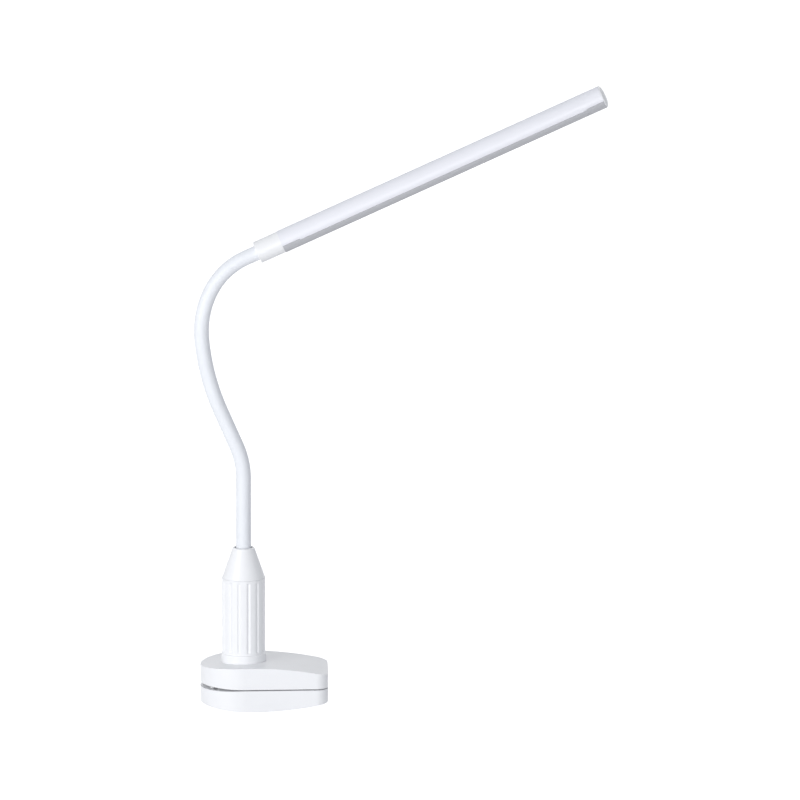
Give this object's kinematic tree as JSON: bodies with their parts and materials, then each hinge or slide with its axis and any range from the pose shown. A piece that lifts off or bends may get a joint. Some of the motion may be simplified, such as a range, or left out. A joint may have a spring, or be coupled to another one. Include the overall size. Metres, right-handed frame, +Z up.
{
  "type": "clip on reading lamp",
  "caption": "Clip-on LED reading lamp: sprung clip, fluted post, flexible neck and a slim round light bar with a frosted diffuser.",
  "frame": {"origin": "on the grip plane between the jaws, under the axis of the post", "axes": "+X from the post to the mouth of the clip, +Z up the post, +Y to the back wall with the button"},
  "size_m": [0.2855, 0.06, 0.4343],
  "materials": {
    "shell_white": "satin moulded white plastic",
    "plate_white": "plain moulded white plastic",
    "neck_white": "smooth white neck sleeve, soft sheen",
    "bar_white": "satin white light bar housing",
    "diffuser_frost": "frosted translucent plastic, unlit",
    "grip_rubber": "matt dark grey rubber",
    "spring_steel": "bright drawn wire and turned pin",
    "screw_steel": "zinc plated",
    "hose_steel": "bare interlocked hose",
    "bush_brass": "turned brass",
    "cell_wrap": "shrink wrapped cell",
    "contact_metal": "nickel plated strip",
    "board_green": "printed circuit board",
    "led_core": "white coated metal core board",
    "led_yellow": "phosphor coated LED chips",
    "socket_metal": "stamped socket shell",
    "switch_black": "switch body",
    "cable_grey": "insulated leads"
  },
  "bodies": {
    "clip_and_post": {"upper_jaw_shell": "shell_white", "upper_jaw_plate": "plate_white", "upper_grip_pad": "grip_rubber", "upper_jaw_screws": "screw_steel", "hinge_pin": "spring_steel", "clip_spring": "spring_steel", "post_ring": "shell_white", "post_sleeve": "shell_white", "post_cone": "shell_white", "post_screws": "screw_steel", "battery_cell": "cell_wrap", "cell_contact_lower": "contact_metal", "cell_contact_upper": "contact_metal", "control_board": "board_green", "board_screws": "screw_steel", "charging_socket": "socket_metal", "push_switch": "switch_black", "neck_ferrule_lower": "bush_brass", "neck_nut": "bush_brass", "neck_hose_0": "hose_steel", "neck_cable_0": "cable_grey", "neck_sleeve_1": "neck_white"},
    "lower_jaw": {"lower_jaw_shell": "shell_white", "lower_jaw_plate": "plate_white", "lower_grip_pad": "grip_rubber", "lower_jaw_screws": "screw_steel"},
    "button": {"power_button": "shell_white"},
    "neck_link_1": {"neck_hose_1": "hose_steel", "neck_cable_1": "cable_grey", "neck_sleeve_2": "neck_white"},
    "neck_link_2": {"neck_hose_2": "hose_steel", "neck_cable_2": "cable_grey", "neck_sleeve_3": "neck_white"},
    "neck_link_3": {"neck_hose_3": "hose_steel", "neck_cable_3": "cable_grey", "neck_sleeve_4": "neck_white"},
    "neck_link_4": {"neck_hose_4": "hose_steel", "neck_cable_4": "cable_grey", "neck_sleeve_5": "neck_white"},
    "head": {"neck_hose_5": "hose_steel", "neck_cable_5": "cable_grey", "neck_ferrule_upper": "bush_brass", "head_collar": "shell_white", "head_housing": "bar_white", "head_diffuser": "diffuser_frost", "diffuser_end_blocks": "diffuser_frost", "led_board": "led_core", "led_chips": "led_yellow", "end_cap": "bar_white"}
  },
  "joints": [
    {"name": "clip_open", "type": "hinge", "parent": "clip_and_post", "child": "lower_jaw", "pos_m": [-0.019, 0, 0], "axis": [0, 1, 0], "range_deg": [0, 14], "stiffness_Nm_per_rad": 1.12, "springref_deg": -28.65, "deforming": ["clip_spring"]},
    {"name": "button_press", "type": "slide", "parent": "clip_and_post", "child": "button", "axis": [0, -1, 0], "range_m": [0, 0.0006], "stiffness_N_per_m": 500, "springref_m": -0.0006},
    {"name": "neck_bend_1", "type": "hinge", "parent": "clip_and_post", "child": "neck_link_1", "pos_m": [0, 0, 0.11793], "axis": [0, 1, 0], "range_deg": [-30, 30], "deforming": ["neck_sleeve_1"]},
    {"name": "neck_bend_2", "type": "hinge", "parent": "neck_link_1", "child": "neck_link_2", "pos_m": [-0.00357, 0, 0.16337], "axis": [0.937, 0, 0.3493], "range_deg": [-30, 30], "deforming": ["neck_sleeve_2"]},
    {"name": "neck_bend_3", "type": "hinge", "parent": "neck_link_2", "child": "neck_link_3", "pos_m": [-0.02121, 0, 0.20569], "axis": [0, 1, 0], "range_deg": [-30, 30], "deforming": ["neck_sleeve_3"]},
    {"name": "neck_bend_4", "type": "hinge", "parent": "neck_link_3", "child": "neck_link_4", "pos_m": [-0.02878, 0, 0.25072], "axis": [0.9988, 0, -0.0497], "range_deg": [-30, 30], "deforming": ["neck_sleeve_4"]},
    {"name": "neck_bend_5", "type": "hinge", "parent": "neck_link_4", "child": "head", "pos_m": [-0.01014, 0, 0.29128], "axis": [0, 1, 0], "range_deg": [-30, 30], "deforming": ["neck_sleeve_5"]}
  ]
}
